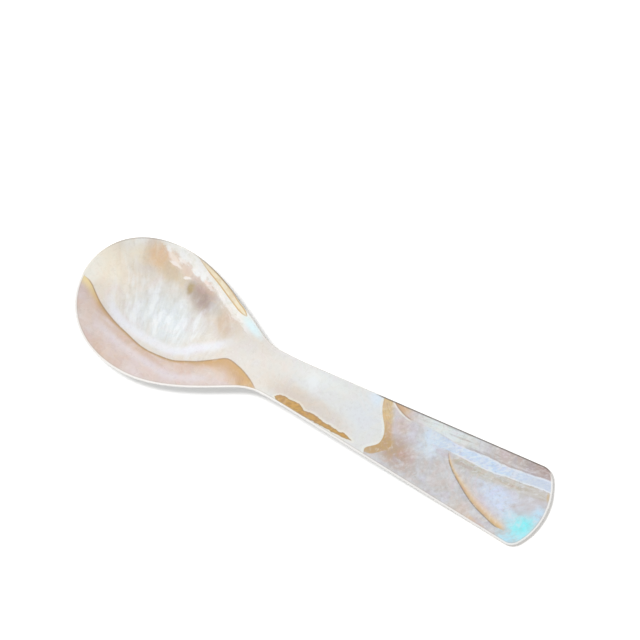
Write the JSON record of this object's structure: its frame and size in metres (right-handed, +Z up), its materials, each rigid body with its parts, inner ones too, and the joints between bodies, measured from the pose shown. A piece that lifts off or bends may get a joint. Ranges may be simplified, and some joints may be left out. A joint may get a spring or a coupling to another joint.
{
  "type": "caviar spoon",
  "caption": "Small mother-of-pearl caviar spoon, carved in one piece: round shallow bowl, narrow neck and a flat handle that widens to a rounded end.",
  "frame": {"origin": "on the table, under the middle of the spoon's length and width", "axes": "+X along the spoon from the nose of the bowl to the end of the handle, +Z up out of the bowl"},
  "size_m": [0.11, 0.0294, 0.0072],
  "materials": {
    "nacre": "polished"
  },
  "bodies": {
    "root": {"spoon": "nacre"}
  },
  "joints": []
}
